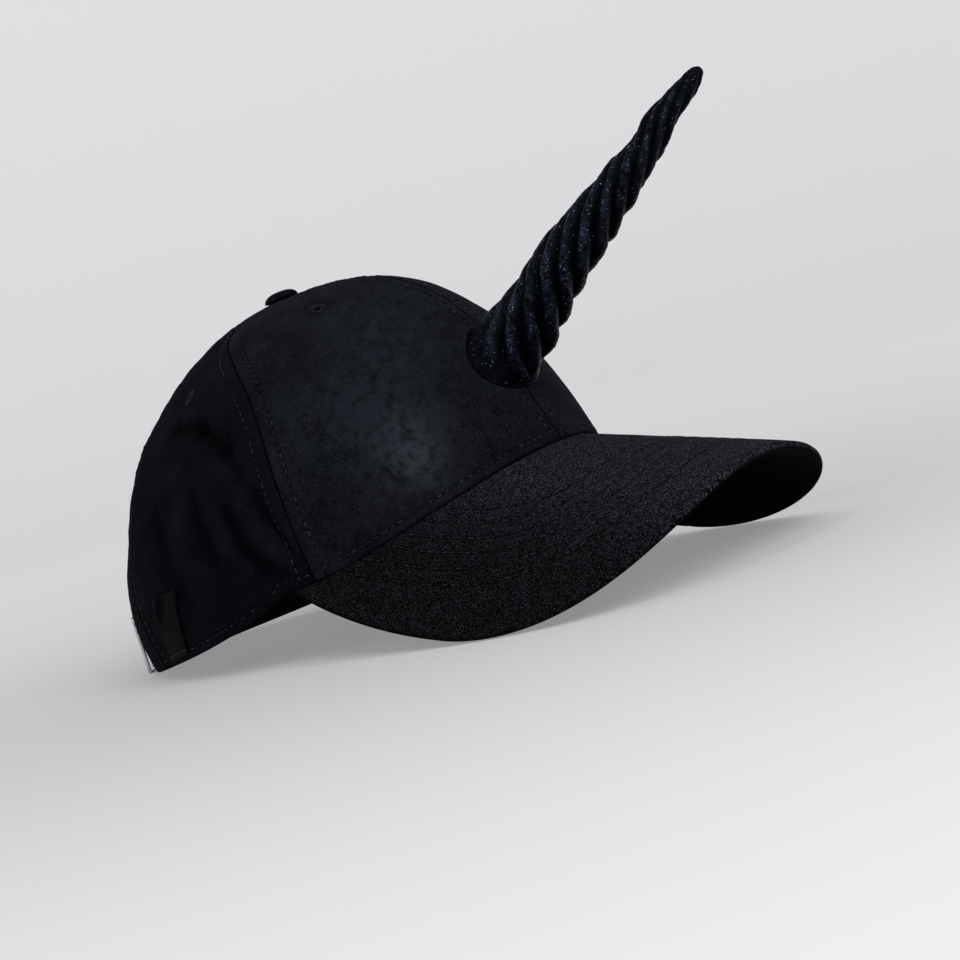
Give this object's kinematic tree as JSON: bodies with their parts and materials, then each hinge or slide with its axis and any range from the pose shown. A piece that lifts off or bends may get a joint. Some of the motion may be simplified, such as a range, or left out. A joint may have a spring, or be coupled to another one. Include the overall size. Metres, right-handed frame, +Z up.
{
  "type": "unicorn cap",
  "caption": "Cloth baseball cap with a curved visor, an adjustable back strap and a stuffed, twisted glitter horn standing out of the front of the crown.",
  "frame": {"origin": "centre of the bounding box, on the plane the cap stands on", "axes": "+Z up, -Y the way the cap faces, +X the wearer's left"},
  "size_m": [0.1606, 0.3022, 0.1629],
  "materials": {
    "crown_cloth": "brushed cotton twill, matte",
    "visor_cloth": "cotton twill over a stiff board, matte",
    "band_cloth": "cotton webbing, matte",
    "glitter_cloth": "cloth covered in fine black glitter",
    "label_satin": "folded satin ribbon",
    "buckle_metal": "plated wire and plate"
  },
  "bodies": {
    "root": {"panel_front_left": "crown_cloth", "panel_side_left": "crown_cloth", "panel_back_left": "crown_cloth", "panel_front_right": "crown_cloth", "panel_side_right": "crown_cloth", "panel_back_right": "crown_cloth", "top_button": "crown_cloth", "visor": "visor_cloth", "horn": "glitter_cloth", "sweatband": "band_cloth", "back_strap": "band_cloth", "strap_buckle": "buckle_metal", "side_label": "label_satin"}
  },
  "joints": []
}
